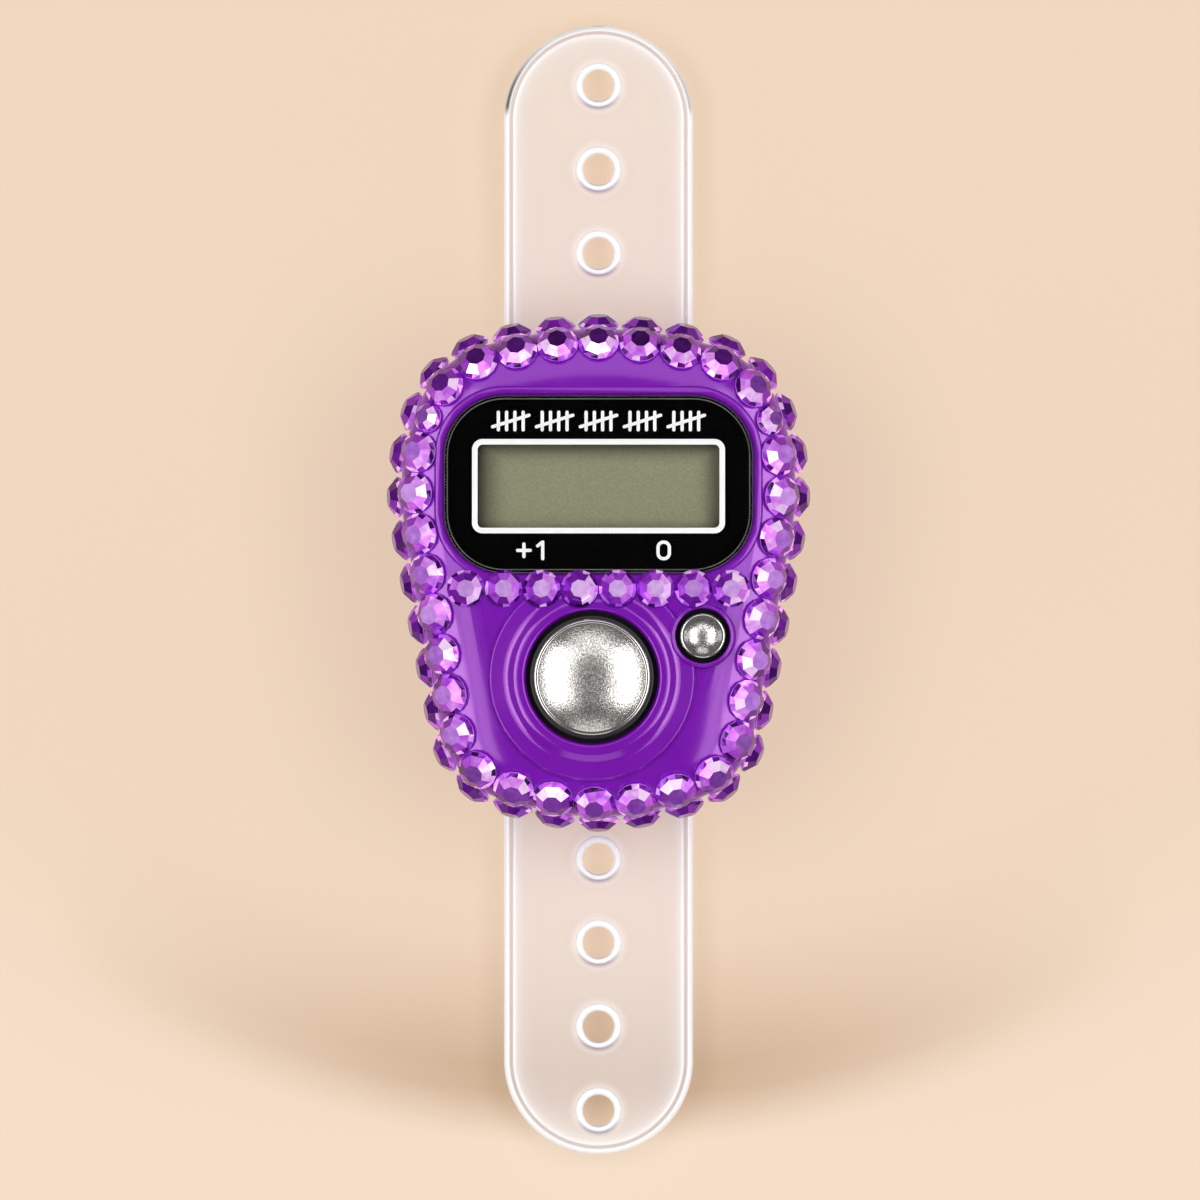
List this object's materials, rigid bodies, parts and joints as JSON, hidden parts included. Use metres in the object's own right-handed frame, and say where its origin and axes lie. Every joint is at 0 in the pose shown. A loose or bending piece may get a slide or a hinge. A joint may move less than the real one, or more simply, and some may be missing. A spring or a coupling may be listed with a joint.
{
  "type": "tally counter",
  "caption": "Finger tally counter: jewelled two-part case with display window, domed count and reset buttons, and a clear perforated strap.",
  "frame": {"origin": "under the middle of the strap, on the surface that the counter lies on", "axes": "+Z out of the display, +Y along the strap towards the top of the display, +X to the right of the display"},
  "size_m": [0.034, 0.0904, 0.0169],
  "materials": {
    "purple_plastic": "glossy moulded ABS",
    "stone": "foil-backed faceted resin",
    "clear_strap": "frosted clear PVC",
    "clear_lens": "clear acrylic",
    "black_print": "black print on film",
    "polariser": "grey-green film",
    "lcd_glass": "thin clear glass",
    "lcd_reflector": "grey-green reflective film",
    "silver": "sandblasted satin with a polished rim",
    "black_plastic": "fine satin",
    "steel": "plain plated",
    "grey_rubber": "silicone",
    "carbon": "conductive carbon rubber",
    "board": "solder-masked laminate",
    "ceramic": "ceramic chip",
    "brass": "spring brass"
  },
  "bodies": {
    "case": {"front_cover": "purple_plastic", "rear_cover": "purple_plastic", "front_stone_ring": "stone", "side_stone_ring": "stone", "divider_stone_1": "stone", "divider_stone_2": "stone", "divider_stone_3": "stone", "divider_stone_4": "stone", "divider_stone_5": "stone", "divider_stone_6": "stone", "divider_stone_7": "stone", "divider_stone_8": "stone", "strap_middle": "clear_strap", "display_lens": "clear_lens", "display_mask": "black_print", "lcd_front_polariser": "polariser", "lcd_front_glass": "lcd_glass", "lcd_rear_glass": "lcd_glass", "lcd_reflector": "lcd_reflector", "zebra_connector": "grey_rubber", "circuit_board": "board", "processor_blob": "black_plastic", "timing_resistor": "black_plastic", "supply_capacitor": "ceramic", "case_screw_1": "steel", "case_screw_2": "steel", "case_screw_3": "steel", "case_screw_4": "steel", "board_screw_1": "steel", "board_screw_2": "steel", "board_screw_3": "steel", "rubber_keypad": "grey_rubber", "count_dome": "grey_rubber", "reset_dome": "grey_rubber", "cell_can": "steel", "cell_gasket": "black_plastic", "cell_cap": "steel", "negative_contact": "brass", "positive_contact": "brass"},
    "count_button": {"count_cap": "silver", "count_plunger": "black_plastic", "count_contact_pill": "carbon"},
    "reset_button": {"reset_cap": "silver", "reset_plunger": "black_plastic", "reset_contact_pill": "carbon"},
    "battery_cover": {"battery_door": "purple_plastic"},
    "upper_tail": {"strap_upper_tail": "clear_strap"},
    "lower_tail": {"strap_lower_tail": "clear_strap"}
  },
  "joints": [
    {"name": "count_press", "type": "slide", "parent": "case", "child": "count_button", "axis": [0, 0, -1], "range_m": [0, 0.0008], "stiffness_N_per_m": 1500, "springref_m": -0.0001, "deforming": ["count_dome"]},
    {"name": "reset_press", "type": "slide", "parent": "case", "child": "reset_button", "axis": [0, 0, -1], "range_m": [0, 0.0006], "stiffness_N_per_m": 1500, "springref_m": -0.0001, "deforming": ["reset_dome"]},
    {"name": "battery_door_turn", "type": "hinge", "parent": "case", "child": "battery_cover", "pos_m": [0, 0.0027, 0.0037], "axis": [0, 0, -1], "range_deg": [0, 60]},
    {"name": "upper_tail_bend", "type": "hinge", "parent": "case", "child": "upper_tail", "pos_m": [0, 0.0181, 0.0013], "axis": [-1, 0, 0], "range_deg": [0, 90], "stiffness_Nm_per_rad": 0.004, "springref_deg": -2.86},
    {"name": "lower_tail_bend", "type": "hinge", "parent": "case", "child": "lower_tail", "pos_m": [0, -0.0145, 0.0013], "axis": [1, 0, 0], "range_deg": [0, 90], "stiffness_Nm_per_rad": 0.004, "springref_deg": -2.86}
  ]
}
